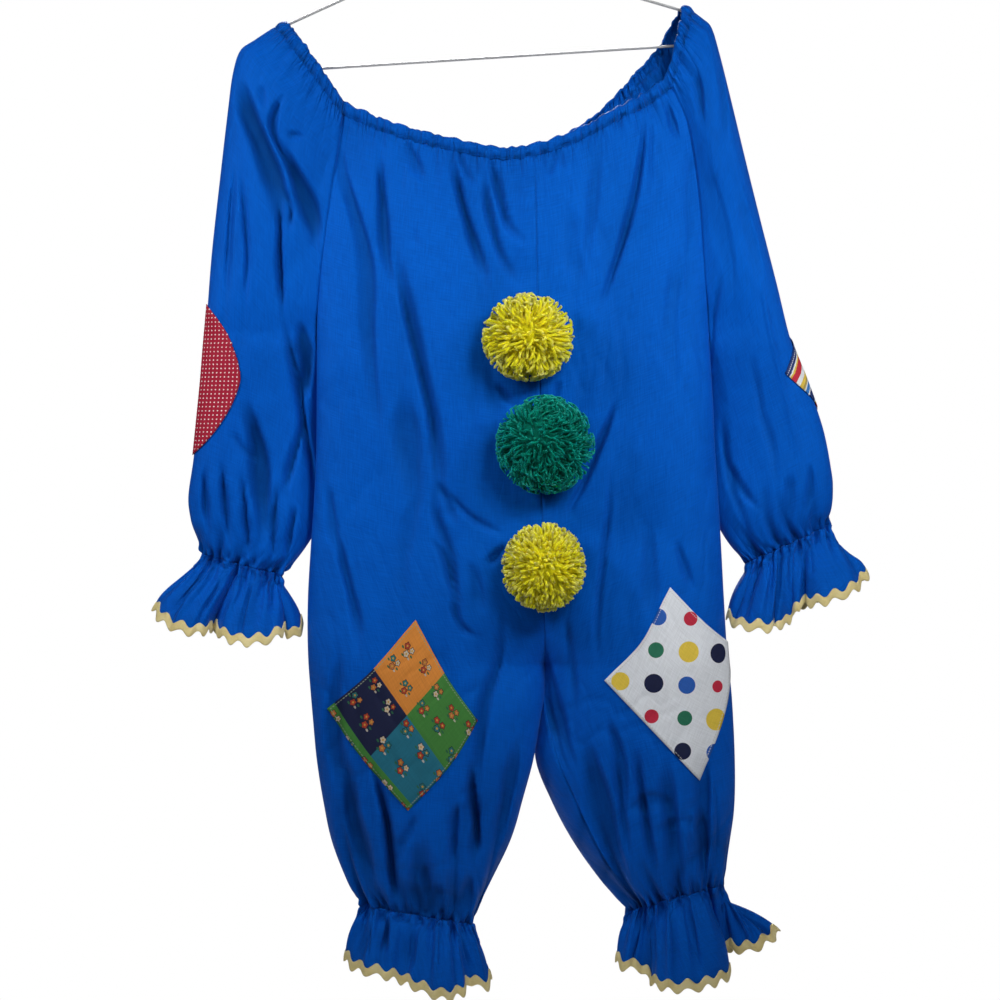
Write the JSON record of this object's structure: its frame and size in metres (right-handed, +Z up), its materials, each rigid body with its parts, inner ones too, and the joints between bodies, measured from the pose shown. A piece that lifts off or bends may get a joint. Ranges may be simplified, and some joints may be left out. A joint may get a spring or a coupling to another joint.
{
  "type": "clown jumpsuit on wire hanger",
  "caption": "Blue clown jumpsuit with gathered neck, long sleeves, frilled cuffs, yarn pompoms and patches, hanging on a wire hanger.",
  "frame": {"origin": "where the hanger's hook rests on its rod", "axes": "+X to the viewer's right, -Y out of the suit's front towards the viewer, +Z up"},
  "size_m": [0.6465, 0.1324, 1.0182],
  "materials": {
    "blue_broadcloth": "matte plain-weave cotton blend",
    "yellow_rickrack": "woven braid",
    "yellow_yarn": "brushed yarn",
    "green_yarn": "brushed yarn",
    "calico_patch": "printed calico",
    "spotted_patch": "printed cotton",
    "pin_dot_patch": "printed cotton",
    "striped_patch": "printed cotton",
    "hanger_steel": "bright painted wire"
  },
  "bodies": {
    "root": {"front_right": "blue_broadcloth", "front_left": "blue_broadcloth", "back_right": "blue_broadcloth", "back_left": "blue_broadcloth", "sleeve_right": "blue_broadcloth", "sleeve_left": "blue_broadcloth", "neck_casing": "blue_broadcloth", "wrist_ruffle_right": "blue_broadcloth", "wrist_ruffle_left": "blue_broadcloth", "ankle_ruffle_right": "blue_broadcloth", "ankle_ruffle_left": "blue_broadcloth", "wrist_trim_right": "yellow_rickrack", "wrist_trim_left": "yellow_rickrack", "ankle_trim_right": "yellow_rickrack", "ankle_trim_left": "yellow_rickrack", "pompom_top": "yellow_yarn", "pompom_middle": "green_yarn", "pompom_bottom": "yellow_yarn", "knee_patch_right": "calico_patch", "knee_patch_left": "spotted_patch", "elbow_patch_right": "pin_dot_patch", "elbow_patch_left": "striped_patch", "hanger_wire": "hanger_steel"}
  },
  "joints": []
}
